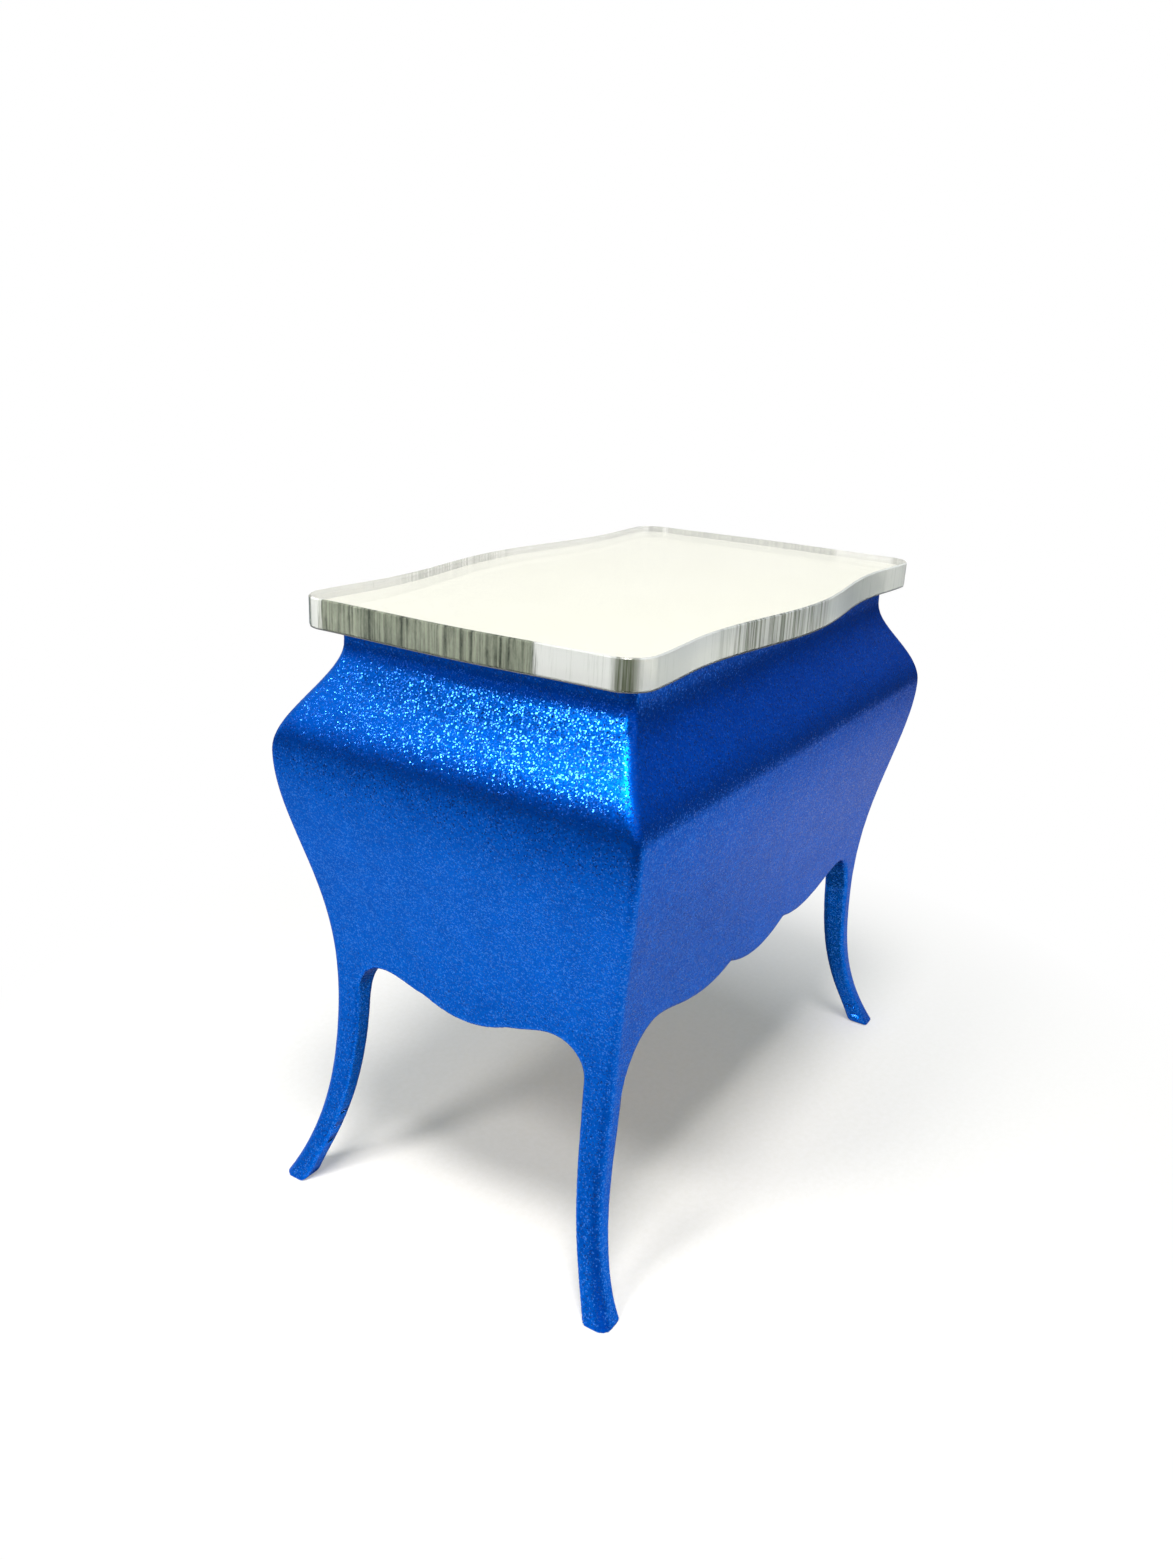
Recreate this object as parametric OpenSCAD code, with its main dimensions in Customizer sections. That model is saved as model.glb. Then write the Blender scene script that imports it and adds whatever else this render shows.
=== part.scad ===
// Miniature bombe chest of drawers with a mirrored top, 1:12 size, in millimetres.
// +Z is up, +X runs along the case, the drawers open towards -Y.
// The origin is on the floor, below the middle of the whole piece.

/* [Case plan] */
// Length over the ends at the waist
waist_length = 63; // [54:0.1:77]
// Depth over the front and back at the waist
waist_depth = 34.6; // [28.8:0.1:42]
// Width of the corner posts at the waist, seen from the front or back
post_width = 3.3; // [3:0.1:6]
// Width of the corner posts at the waist, seen from the ends
post_depth = 3.3; // [3.3:0.1:6]

/* [Case heights] */
// Floor to the waist of the ends
leg_height = 24; // [22:0.5:29]
// Waist of the ends up to the widest point
rise_height = 25.7; // [25:0.1:31]
// Widest point up to the neck
shoulder_height = 10.7; // [9:0.1:13]
// Upright neck below the mirrored top
neck_height = 1.8; // [1.6:0.1:2.4]
// How far the waist of the front and back lies below the waist of the ends
side_waist_drop = 6; // [4:0.5:8]

/* [Swell of the ends] */
// How far the toes stand out past the waist
end_foot_out = 4.95; // [3:0.05:6]
// How suddenly the leg turns outwards
end_foot_turn = 1.86; // [1.5:0.02:2.6]
// How far the belly stands out past the waist
end_belly_out = 4.4; // [2:0.1:6]
// How late the belly starts to swell
end_belly_turn = 1.22; // [1:0.02:1.5]
// How far the neck is set back from the waist
end_neck_in = 1.35; // [0.6:0.05:1.6]
// How late the shoulder starts to fall
end_shoulder_turn = 1.3; // [0.9:0.02:1.5]

/* [Swell of the front and back] */
// How far the toes stand out past the waist
side_foot_out = 3.5; // [2:0.1:4.2]
// How suddenly the leg turns outwards
side_foot_turn = 2.7; // [1.5:0.1:3]
// How far the belly stands out past the waist
side_belly_out = 3.85; // [2:0.05:5]
// How late the belly starts to swell
side_belly_turn = 1.42; // [1:0.02:1.6]
// How far the neck is set back from the waist
side_neck_in = 0.65; // [0.2:0.05:0.8]
// How late the shoulder starts to fall
side_shoulder_turn = 0.94; // [0.9:0.02:1.5]

/* [Legs] */
// Width of the toe
toe_width = 2.9; // [2.4:0.1:3.4]
// Width of the ankle seen from the front or back
ankle_width = 2.4; // [2:0.1:3]
// Width of the ankle seen from the ends
ankle_depth = 2.55; // [2:0.05:3]
// Width below the knee seen from the front or back
knee_width = 2.5; // [2.2:0.1:3]
// Width below the knee seen from the ends
knee_depth = 3.25; // [2.8:0.05:3.3]
// Height of the ankle above the floor
ankle_height = 4; // [3:0.5:6]
// Flat worked on the outer corner of each post and leg
corner_flat = 0.55; // [0.3:0.05:0.8]

/* [Aprons] */
// Drop from the waist of the ends to where the long arches leave the legs
long_arch_drop = 4; // [2:0.5:6]
// Leg to the crown of the long arch
long_arch_width = 5.4; // [3:0.1:8]
// Height of the long arch crown above the waist of the ends
long_crown_rise = 3.45; // [2:0.05:3.6]
// Half width of the middle lobe of the long apron
middle_lobe_half = 6.9; // [5:0.1:8]
// Middle of the case to the outer cusp of the long apron
outer_cusp_out = 15.7; // [12:0.1:18]
// Height of the middle lobe above the waist of the ends
middle_lobe_rise = 0.85; // [0.4:0.05:1.4]
// Height of the inner cusps above the waist of the ends
inner_cusp_rise = 2.35; // [1.6:0.05:2.8]
// Height of the side lobes above the waist of the ends
side_lobe_rise = 1.6; // [1:0.05:2]
// Height of the outer cusps above the waist of the ends
outer_cusp_rise = 1.9; // [1.4:0.05:2.4]
// Drop from the waist of the ends to where the end arches leave the legs
end_arch_drop = 0.8; // [0.4:0.1:2]
// Leg to the crown of the end arch
end_arch_width = 3.7; // [3:0.1:6]
// Height of the end arch crown above the waist of the ends
end_crown_rise = 2.75; // [1.6:0.05:3.4]
// Half width of the belly lobe of the end apron
end_lobe_half = 5.2; // [4:0.1:6.5]
// Height of the belly lobe above the waist of the ends
end_lobe_rise = 0.4; // [0.2:0.05:1]
// Height of the end apron cusps above the waist of the ends
end_cusp_rise = 1.35; // [1:0.05:1.8]

/* [Boards] */
// Thickness of the board under the mirrored top
top_board_thick = 1.3; // [1:0.1:1.5]
// Height of the rail above the upper drawer
top_rail_height = 1.6; // [1.2:0.1:2.2]
// Height of the rail and dust board between the drawers
middle_rail_height = 1.2; // [1:0.1:1.8]
// Thickness of the bottom board
bottom_board_thick = 1.3; // [1:0.1:1.6]
// Height of the bottom board's upper face above the waist of the ends
bottom_board_rise = 5.2; // [5:0.1:7]

/* [Mirrored top] */
// Thickness of the clear sheet
sheet_thick = 2.9; // [1.8:0.1:4]
// Thickness of the mirror coating and its backing
coating_thick = 0.1; // [0.1:0.05:0.3]
// How far the middle of each end stands out past the neck
top_end_over = 4.1; // [2:0.1:6]
// How far the middle of each long edge stands out past the neck
top_side_over = 3.85; // [2.5:0.05:5]
// How far each long edge sweeps in from its middle
top_sweep_in = 2; // [0.5:0.1:2.5]
// Middle of the top to the deepest point of the sweep
top_sweep_out = 21; // [16:0.5:23]
// How far the long edge comes out again towards the corners
top_ear = 0.5; // [0.2:0.1:1]
// How far the ends are bowed
top_end_bow = 0.5; // [0.2:0.1:1]
// Corner radius of the top
top_corner = 3; // [2:0.1:4]

/* [Drawers] */
// Height of the lower drawer front
lower_front_height = 14; // [10:0.5:18]
// Gap round each drawer
drawer_gap = 0.2; // [0.15:0.05:0.3]
// How far the drawer sides stop below the top of the front
side_step_down = 1.4; // [1:0.1:3]
// Thickness of the drawer sides and backs
side_thick = 1.5; // [1:0.1:2]
// Thickness of the drawer bottoms
drawer_bottom_thick = 1; // [0.8:0.1:1.4]

/* [Knobs] */
// Distance between the two knobs of a drawer
knob_spacing = 28; // [20:1:40]
// Diameter of the knob's ball
knob_ball = 3; // [2:0.1:4]
// Diameter of the knob's collar
knob_collar = 1.9; // [1.5:0.1:2.5]
// Thickness of the knob's collar
knob_collar_thick = 0.4; // [0.3:0.1:0.6]
// Diameter of the knob's neck
knob_neck = 0.9; // [0.7:0.1:1.3]
// Collar to the middle of the ball
knob_reach = 1.6; // [1.4:0.1:2.4]
// Diameter of the knob's pin
knob_pin = 0.8; // [0.6:0.1:1]
// Length of the knob's pin
knob_pin_length = 1.8; // [1:0.1:2]
// Radial clearance of the pin in its hole
pin_clear = 0.05; // [0.02:0.01:0.08]
// Depth of the flat seat cut for the collar
knob_seat = 0.3; // [0.25:0.05:0.4]
// Height of the upper knobs above the bottom of the upper drawer front
upper_knob_up = 5.3; // [4:0.1:8]
// Height of the lower knobs above the bottom of the lower drawer front
lower_knob_up = 7; // [5:0.1:9]

/* [Hidden] */
$fn = 48;

paint = "royalblue";
bare_wood = "burlywood";
brass = "goldenrod";

// Number of flat steps along the whole height of the swell
swell_steps = 31;
// Number of straight steps in each curved stretch of an outline
curve_steps = 10;
// Anything longer than the whole piece, for cutting tools
reach = 200;

// Heights above the floor
side_waist_z = leg_height - side_waist_drop;
belly_z = leg_height + rise_height;
neck_z = belly_z + shoulder_height;
case_top = neck_z + neck_height;
board_under = case_top - top_board_thick;
bottom_board_top = leg_height + bottom_board_rise;
lower_front_bottom = bottom_board_top + drawer_gap;
lower_front_top = lower_front_bottom + lower_front_height;
middle_rail_bottom = lower_front_top + drawer_gap;
middle_rail_top = middle_rail_bottom + middle_rail_height;
upper_front_bottom = middle_rail_top + drawer_gap;
top_rail_bottom = board_under - top_rail_height;
upper_front_top = top_rail_bottom - drawer_gap;

// Half sizes in plan
space_half_x = waist_length / 2 - post_width;
space_half_y = waist_depth / 2 - post_depth;

// The swell: an outward toe below the waist, an S curve out to the belly
// and another S curve in to the neck
function s_curve(t) = t * t * (3 - 2 * t);
function toe_swell(z, waist_z, out, turn) = out * pow(1 - z / waist_z, turn);
function belly_swell(z, waist_z, out, turn) =
    out * s_curve(pow((z - waist_z) / (belly_z - waist_z), turn));
function shoulder_swell(z, out, neck_in, turn) =
    out - (out + neck_in) * s_curve(pow((z - belly_z) / (neck_z - belly_z), turn));
function half_x(z) = waist_length / 2
    + (z < leg_height ? toe_swell(z, leg_height, end_foot_out, end_foot_turn)
     : z < belly_z ? belly_swell(z, leg_height, end_belly_out, end_belly_turn)
     : z < neck_z ? shoulder_swell(z, end_belly_out, end_neck_in, end_shoulder_turn)
     : -end_neck_in);
function half_y(z) = waist_depth / 2
    + (z < side_waist_z ? toe_swell(z, side_waist_z, side_foot_out, side_foot_turn)
     : z < belly_z ? belly_swell(z, side_waist_z, side_belly_out, side_belly_turn)
     : z < neck_z ? shoulder_swell(z, side_belly_out, side_neck_in, side_shoulder_turn)
     : -side_neck_in);
function half_diagonal(z) = (half_x(z) + half_y(z) - corner_flat) / sqrt(2);

// Leg widths: the toe narrows to the ankle, then the leg widens to the knee
function leg_width(z, ankle, knee) = z < ankle_height
    ? ankle + (toe_width - ankle) * pow(1 - z / ankle_height, 2)
    : ankle + (knee - ankle) * s_curve(min(1, (z - ankle_height) / (leg_height - ankle_height)));
function leg_inner_x(z) = half_x(z) - leg_width(z, ankle_width, knee_width);
function leg_inner_y(z) = half_y(z) - leg_width(z, ankle_depth, knee_depth);

// Knob places and the middle of the whole piece, knobs included
upper_knob_z = upper_front_bottom + upper_knob_up;
lower_knob_z = lower_front_bottom + lower_knob_up;
knob_past_seat = knob_collar_thick + knob_reach + knob_ball / 2;
front_reach = half_y(upper_knob_z) - knob_seat + knob_past_seat;
back_reach = half_y(belly_z);
case_y = (front_reach - back_reach) / 2;

// Upright stations of the swell, with the widest point among them
lower_steps = round(swell_steps * belly_z / case_top);
upper_steps = swell_steps - lower_steps;
stations = [for (i = [0 : lower_steps - 1]) belly_z * i / lower_steps,
            for (i = [0 : upper_steps]) belly_z + (case_top - belly_z) * i / upper_steps];
station_count = len(stations);

// Outlines in an upright plane: points are [across, height]
function both_sides(right) = concat(right,
    [for (i = [len(right) - 1 : -1 : 0]) if (right[i][0] > 0) [-right[i][0], right[i][1]]]);
long_outline = both_sides([for (z = stations) [half_x(z), z]]);
end_outline = both_sides([for (z = stations) [half_y(z), z]]);
corner_outline = both_sides([for (z = stations) [half_diagonal(z), z]]);

// The right half of a lobe that hangs lowest in the middle of the case
function half_lobe(half, low, cusp) = [for (i = [0 : curve_steps])
    let (t = i / curve_steps) [half * t, low + (cusp - low) * t * t]];
// A lobe from u0 to u1: it hangs to low halfway between the heights at its two ends
function lobe(u0, z0, u1, z1, low) = [for (i = [1 : curve_steps])
    let (t = i / curve_steps, chord = z0 + (z1 - z0) * t)
    [u0 + (u1 - u0) * t, chord - ((z0 + z1) / 2 - low) * 4 * t * (1 - t)]];
// The rise from a cusp to the crown of the arch, level at the crown;
// a higher turn keeps the crown flat for longer
crown_turn = 1.65;
function shoulder(u0, z0, u1, z1) = [for (i = [1 : curve_steps])
    let (t = i / curve_steps) [u0 + (u1 - u0) * t, z1 - (z1 - z0) * pow(1 - t, crown_turn)]];
// A quarter of an ellipse from the crown down to the leg
function arch(crown_u, crown_z, leg_u, leg_z) = [for (i = [1 : curve_steps])
    let (a = 90 * i / curve_steps)
    [crown_u + (leg_u - crown_u) * sin(a), leg_z + (crown_z - leg_z) * cos(a)]];

long_arch_z = leg_height - long_arch_drop;
long_crown_z = leg_height + long_crown_rise;
long_arch_leg = leg_inner_x(long_arch_z);
long_crown_out = long_arch_leg - long_arch_width;
inner_cusp_z = leg_height + inner_cusp_rise;
outer_cusp_z = leg_height + outer_cusp_rise;
long_arch_right = concat(
    half_lobe(middle_lobe_half, leg_height + middle_lobe_rise, inner_cusp_z),
    lobe(middle_lobe_half, inner_cusp_z, outer_cusp_out, outer_cusp_z, leg_height + side_lobe_rise),
    shoulder(outer_cusp_out, outer_cusp_z, long_crown_out, long_crown_z),
    arch(long_crown_out, long_crown_z, long_arch_leg, long_arch_z));

end_arch_z = leg_height - end_arch_drop;
end_crown_z = leg_height + end_crown_rise;
end_arch_leg = leg_inner_y(end_arch_z);
end_crown_out = end_arch_leg - end_arch_width;
end_cusp_z = leg_height + end_cusp_rise;
end_arch_right = concat(
    half_lobe(end_lobe_half, leg_height + end_lobe_rise, end_cusp_z),
    shoulder(end_lobe_half, end_cusp_z, end_crown_out, end_crown_z),
    arch(end_crown_out, end_crown_z, end_arch_leg, end_arch_z));

// Inner leg edges from the arches down to the floor, and a little below it.
// A station closer to the arch than this is left out
station_clear = 0.3;
past_floor = -1;
function below(z) = [for (i = [station_count - 1 : -1 : 0])
    if (stations[i] < z - station_clear) stations[i]];
long_opening = both_sides(concat(long_arch_right,
    [for (z = below(long_arch_z)) [leg_inner_x(z), z]], [[leg_inner_x(0), past_floor]]));
end_opening = both_sides(concat(end_arch_right,
    [for (z = below(end_arch_z)) [leg_inner_y(z), z]], [[leg_inner_y(0), past_floor]]));

// Outline of the mirrored top in plan, one quarter first: points are [x, y]
top_half_x = half_x(case_top) + top_end_over;
top_half_y = half_y(case_top) + top_side_over;
top_corner_x = top_half_x - top_end_bow - top_corner;
top_corner_y = top_half_y - top_sweep_in + top_ear - top_corner;
function half_wave(t) = (1 - cos(180 * t)) / 2;
top_quarter = concat(
    [for (i = [0 : curve_steps]) let (t = i / curve_steps)
        [top_sweep_out * t, top_half_y - top_sweep_in * half_wave(t)]],
    [for (i = [1 : curve_steps]) let (t = i / curve_steps)
        [top_sweep_out + (top_corner_x - top_sweep_out) * t,
         top_half_y - top_sweep_in + top_ear * half_wave(t)]],
    [for (i = [1 : curve_steps]) let (a = 90 * i / curve_steps)
        [top_corner_x + top_corner * sin(a), top_corner_y + top_corner * cos(a)]],
    [for (i = [1 : curve_steps]) let (t = i / curve_steps)
        [top_half_x - top_end_bow + top_end_bow * half_wave(t), top_corner_y * (1 - t)]]);
top_outline = concat(top_quarter,
    [for (i = [len(top_quarter) - 2 : -1 : 0]) [top_quarter[i][0], -top_quarter[i][1]]],
    [for (p = top_quarter) if (p[0] > 0) [-p[0], -p[1]]],
    [for (i = [len(top_quarter) - 2 : -1 : 1]) [-top_quarter[i][0], top_quarter[i][1]]]);

// ---- Building blocks, all in the frame of the case ----

// Sets the case so that the whole piece is centred over the origin
module in_place() {
    translate([0, case_y, 0]) children();
}

// Extrudes an upright outline along Y, along X or along either diagonal
module along_y(points) {
    rotate([90, 0, 0]) linear_extrude(height = reach, center = true) polygon(points);
}
module along_x(points) {
    rotate([0, 0, 90]) along_y(points);
}
module along_diagonal(points, turn) {
    rotate([0, 0, turn]) along_y(points);
}

// A box given by its lowest and highest corners
module block(low, high) {
    translate(low) cube(high - low);
}

// The swollen outer form of the case on all four faces
module swell() {
    intersection() {
        along_y(long_outline);
        along_x(end_outline);
    }
}

// The swollen form with its four corner edges worked flat
module swell_with_corners() {
    intersection() {
        swell();
        along_diagonal(corner_outline, 45);
        along_diagonal(corner_outline, -45);
    }
}

// One post: the corner column of the case with the cabriole leg below it
module corner_post(side_x, side_y) {
    color(paint) in_place()
    difference() {
        intersection() {
            swell_with_corners();
            to_corner(side_x, side_y)
                block([space_half_x, space_half_y, 0], [reach, reach, board_under]);
        }
        along_y(long_opening);
        along_x(end_opening);
    }
}

// Mirrors a shape at the back right corner into another corner
module to_corner(side_x, side_y) {
    mirror([side_x < 0 ? 1 : 0, 0, 0])
    mirror([0, side_y < 0 ? 1 : 0, 0])
        children();
}

module end_panel(side_x) {
    color(paint) in_place()
    difference() {
        intersection() {
            along_y(long_outline);
            to_corner(side_x, 1)
                block([space_half_x, -space_half_y, 0], [reach, space_half_y, board_under]);
        }
        along_x(end_opening);
    }
}

module back_panel() {
    color(paint) in_place()
    difference() {
        intersection() {
            along_x(end_outline);
            block([-space_half_x, space_half_y, 0], [space_half_x, reach, board_under]);
        }
        along_y(long_opening);
    }
}

// A rail or drawer front: the front of the swell between two heights
module front_slice(half, bottom, top) {
    intersection() {
        along_x(end_outline);
        block([-half, -reach, bottom], [half, -space_half_y, top]);
    }
}

module front_top_rail() {
    color(paint) in_place() front_slice(space_half_x, top_rail_bottom, board_under);
}

module front_middle_rail() {
    color(paint) in_place() front_slice(space_half_x, middle_rail_bottom, middle_rail_top);
}

module front_apron() {
    color(paint) in_place()
    difference() {
        front_slice(space_half_x, 0, bottom_board_top);
        along_y(long_opening);
    }
}

module top_board() {
    color(paint) in_place()
    intersection() {
        swell_with_corners();
        block([-reach, -reach, board_under], [reach, reach, case_top]);
    }
}

module dust_board() {
    color(bare_wood) in_place()
    block([-space_half_x, -space_half_y, middle_rail_bottom],
          [space_half_x, space_half_y, middle_rail_top]);
}

module bottom_board() {
    color(bare_wood) in_place()
    block([-space_half_x, -space_half_y, bottom_board_top - bottom_board_thick],
          [space_half_x, space_half_y, bottom_board_top]);
}

module mirror_coating() {
    color("silver") in_place()
    translate([0, 0, case_top]) linear_extrude(height = coating_thick) polygon(top_outline);
}

module mirror_top_sheet() {
    color("aliceblue", 0.5) in_place()
    translate([0, 0, case_top + coating_thick])
        linear_extrude(height = sheet_thick) polygon(top_outline);
}

// ---- Drawers: each takes the bottom and top of its front, and its knob height ----

front_half = space_half_x - drawer_gap;
box_back = space_half_y - drawer_gap;

// Mirrors a knob or its hole to both ends of a drawer front
module at_knob(side_x, knob_z) {
    translate([side_x * knob_spacing / 2, knob_seat - half_y(knob_z), knob_z])
        rotate([90, 0, 0]) children();
}

module drawer_front(bottom, top, knob_z) {
    color(paint) in_place()
    difference() {
        front_slice(front_half, bottom, top);
        for (side_x = [-1, 1]) at_knob(side_x, knob_z) {
            translate([0, 0, -knob_pin_length - pin_clear])
                cylinder(h = knob_pin_length + knob_seat, d = knob_pin + 2 * pin_clear);
            cylinder(h = 2 * knob_seat, d = knob_collar + 2 * pin_clear);
        }
    }
}

module drawer_side(side_x, bottom, top) {
    color(bare_wood) in_place()
    to_corner(side_x, 1)
        block([front_half - side_thick, -space_half_y, bottom],
              [front_half, box_back, top - side_step_down]);
}

module drawer_bottom(bottom) {
    color(bare_wood) in_place()
    block([side_thick - front_half, -space_half_y, bottom],
          [front_half - side_thick, box_back, bottom + drawer_bottom_thick]);
}

module drawer_back(bottom, top) {
    color(bare_wood) in_place()
    block([side_thick - front_half, box_back - side_thick, bottom + drawer_bottom_thick],
          [front_half - side_thick, box_back, top - side_step_down]);
}

module knob(side_x, knob_z) {
    color(brass) in_place() at_knob(side_x, knob_z) {
        translate([0, 0, -knob_pin_length]) cylinder(h = knob_pin_length, d = knob_pin);
        cylinder(h = knob_collar_thick, d = knob_collar);
        cylinder(h = knob_collar_thick + knob_reach, d = knob_neck);
        translate([0, 0, knob_collar_thick + knob_reach]) sphere(d = knob_ball);
    }
}

mirror_top_sheet();
mirror_coating();
top_board();
corner_post(1, 1);  // corner_post_back_right
corner_post(-1, 1);  // corner_post_back_left
corner_post(1, -1);  // corner_post_front_right
corner_post(-1, -1);  // corner_post_front_left
end_panel(1);  // end_panel_right
end_panel(-1);  // end_panel_left
back_panel();
front_top_rail();
front_middle_rail();
front_apron();
dust_board();
bottom_board();
drawer_front(upper_front_bottom, upper_front_top, upper_knob_z);  // upper_drawer_front
drawer_side(1, upper_front_bottom, upper_front_top);  // upper_drawer_side_right
drawer_side(-1, upper_front_bottom, upper_front_top);  // upper_drawer_side_left
drawer_back(upper_front_bottom, upper_front_top);  // upper_drawer_back
drawer_bottom(upper_front_bottom);  // upper_drawer_bottom
knob(1, upper_knob_z);  // upper_knob_right
knob(-1, upper_knob_z);  // upper_knob_left
drawer_front(lower_front_bottom, lower_front_top, lower_knob_z);  // lower_drawer_front
drawer_side(1, lower_front_bottom, lower_front_top);  // lower_drawer_side_right
drawer_side(-1, lower_front_bottom, lower_front_top);  // lower_drawer_side_left
drawer_back(lower_front_bottom, lower_front_top);  // lower_drawer_back
drawer_bottom(lower_front_bottom);  // lower_drawer_bottom
knob(1, lower_knob_z);  // lower_knob_right
knob(-1, lower_knob_z);  // lower_knob_left
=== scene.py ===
"""Looks of a miniature bombe chest of drawers with a mirrored top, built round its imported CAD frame.

Sizes in this script are millimetres, in the frame's own axes: +Z up, +X along the case, drawers towards -Y.
"""
import math

import bmesh
import bpy
import numpy as np
from mathutils import Matrix, Vector


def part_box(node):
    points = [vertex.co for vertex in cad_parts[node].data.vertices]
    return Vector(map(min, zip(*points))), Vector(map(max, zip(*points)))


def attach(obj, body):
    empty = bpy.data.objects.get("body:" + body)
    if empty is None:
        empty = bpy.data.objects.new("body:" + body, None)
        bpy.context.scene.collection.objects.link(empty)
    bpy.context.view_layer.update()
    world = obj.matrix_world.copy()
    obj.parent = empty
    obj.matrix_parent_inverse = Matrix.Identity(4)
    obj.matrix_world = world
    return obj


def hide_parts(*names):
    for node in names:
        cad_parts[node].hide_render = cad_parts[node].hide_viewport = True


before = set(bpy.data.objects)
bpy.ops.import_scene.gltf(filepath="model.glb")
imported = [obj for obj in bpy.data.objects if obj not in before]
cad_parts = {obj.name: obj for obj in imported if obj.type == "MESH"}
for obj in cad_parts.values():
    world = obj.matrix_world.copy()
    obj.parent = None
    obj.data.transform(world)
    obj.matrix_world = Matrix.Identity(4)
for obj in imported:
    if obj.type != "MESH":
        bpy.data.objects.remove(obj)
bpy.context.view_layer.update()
MM = 0.001


def box_mm(node):
    low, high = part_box(node)
    return np.array(low) / MM, np.array(high) / MM


# ---------------------------------------------------------------- sizes read from the frame
post_high = box_mm("corner_post_back_right")[1]
front_post_low = box_mm("corner_post_front_right")[0]
panel_low, panel_high = box_mm("back_panel")
board_low, board_high = box_mm("top_board")
end_panel_high = box_mm("end_panel_right")[1]
rail_low, rail_high = box_mm("front_middle_rail")

CASE_Y = (post_high[1] + front_post_low[1]) / 2     # the case's own middle, which the knobs push off centre
TOE_X = post_high[0]
TOE_Y = (post_high[1] - front_post_low[1]) / 2
BELLY_X = end_panel_high[0]
BELLY_Y = panel_high[1] - CASE_Y
NECK_X = board_high[0]
NECK_Y = board_high[1] - CASE_Y
SPACE_X = panel_high[0]                             # half width of the space that the drawers fill
SPACE_Y = panel_low[1] - CASE_Y
BOARD_UNDER = board_low[2]
CASE_TOP = board_high[2]
WINDOWS = [(box_mm("bottom_board")[1][2], rail_low[2]),     # bottom and top of each drawer's opening
           (rail_high[2], box_mm("front_top_rail")[0][2])]

# ---------------------------------------------------------------- sizes that shape the swell
WAIST_X = 31.5
WAIST_Y = 17.3
END_WAIST_Z = 24.0
SIDE_WAIST_Z = 18.0
BELLY_Z = 49.7
NECK_Z = 60.4
TOE_WIDTH = 2.9
ANKLE_Z = 4.0
LEG_CORNER = 0.95                                   # radius of the upright corners on the legs
BODY_CORNER = 0.8                                   # and on the body, which starts to take over at BODY_FROM_Z
BODY_FROM_Z = 18.0
BODY_BLEND = 14.0
FAR = 60.0                                          # past the case in every direction

# ---------------------------------------------------------------- sizes of the knobs
PIN_LENGTH = 1.8
PIN_RADIUS = 0.4
COLLAR_RADIUS = 0.95
KNOB_NECK = 0.45
SEAT_RADIUS = 1.05
SEAT_DEPTH = 0.3
KNOB_SPAN = (12.6, 15.4)                            # the stretch of a drawer front's half that holds its knob


def s_curve(t):
    return t * t * (3 - 2 * t)


def swell(z, waist, waist_z, toe, toe_turn, belly, belly_turn, neck, shoulder_turn):
    """Half width of the case at height z: the toe, the waist, the belly and the neck in one curve.

    Each turn says how late the curve bends on its stretch."""
    foot = (toe - waist) * np.clip(1 - z / waist_z, 0, None) ** toe_turn
    rise = (belly - waist) * s_curve(np.clip((z - waist_z) / (BELLY_Z - waist_z), 0, 1) ** belly_turn)
    fall = (belly - neck) * s_curve(np.clip((z - BELLY_Z) / (NECK_Z - BELLY_Z), 0, 1) ** shoulder_turn)
    return waist + foot + rise - fall


def half_x(z):
    return swell(z, WAIST_X, END_WAIST_Z, TOE_X, 1.86, BELLY_X, 1.22, NECK_X, 1.3)


def half_y(z):
    return swell(z, WAIST_Y, SIDE_WAIST_Z, TOE_Y, 2.7, BELLY_Y, 1.42, NECK_Y, 0.94)


def leg_width(z, ankle, knee):
    """The toe narrows to the ankle, then the leg widens to the knee."""
    toe = ankle + (TOE_WIDTH - ankle) * np.clip(1 - z / ANKLE_Z, 0, None) ** 2
    shin = (knee - ankle) * s_curve(np.clip((z - ANKLE_Z) / (END_WAIST_Z - ANKLE_Z), 0, 1))
    return toe + shin


def leg_inner_x(z):
    return half_x(z) - leg_width(z, 2.4, 2.5)


def leg_inner_y(z):
    return half_y(z) - leg_width(z, 2.55, 3.25)


# ---------------------------------------------------------------- the scalloped aprons
STEPS = np.linspace(0, 1, 9)[1:]


def lobe(u0, z0, u1, z1, low):
    """A hanging lobe from one cusp to the next."""
    sag = ((z0 + z1) / 2 - low) * 4 * STEPS * (1 - STEPS)
    return np.stack([u0 + (u1 - u0) * STEPS, z0 + (z1 - z0) * STEPS - sag], 1)


def half_lobe(half, low, cusp):
    """The right half of the lobe in the middle of an apron."""
    return np.stack([half * STEPS, low + (cusp - low) * STEPS ** 2], 1)


def shoulder(u0, z0, u1, z1):
    """The rise from a cusp to the crown of the arch, nearly level at both."""
    rise = 0.35 * (1 - (1 - STEPS) ** 1.65) + 0.65 * s_curve(STEPS)
    return np.stack([u0 + (u1 - u0) * STEPS, z0 + (z1 - z0) * rise], 1)


def arch(crown_u, crown_z, leg_u, leg_z):
    """A quarter of an ellipse from the crown down to the leg."""
    angle = STEPS * math.pi / 2
    return np.stack([crown_u + (leg_u - crown_u) * np.sin(angle), leg_z + (crown_z - leg_z) * np.cos(angle)], 1)


def opening(apron, arch_z, leg_inner):
    """The line round one half of an opening between two legs: the apron, the arch, then the leg's inner edge."""
    leg_z = np.linspace(arch_z, -1, 15)[1:]
    line = np.concatenate([apron, np.stack([leg_inner(leg_z), leg_z], 1)])
    return {"line": line, "apron": apron, "arch_z": arch_z, "leg_inner": leg_inner}


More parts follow.
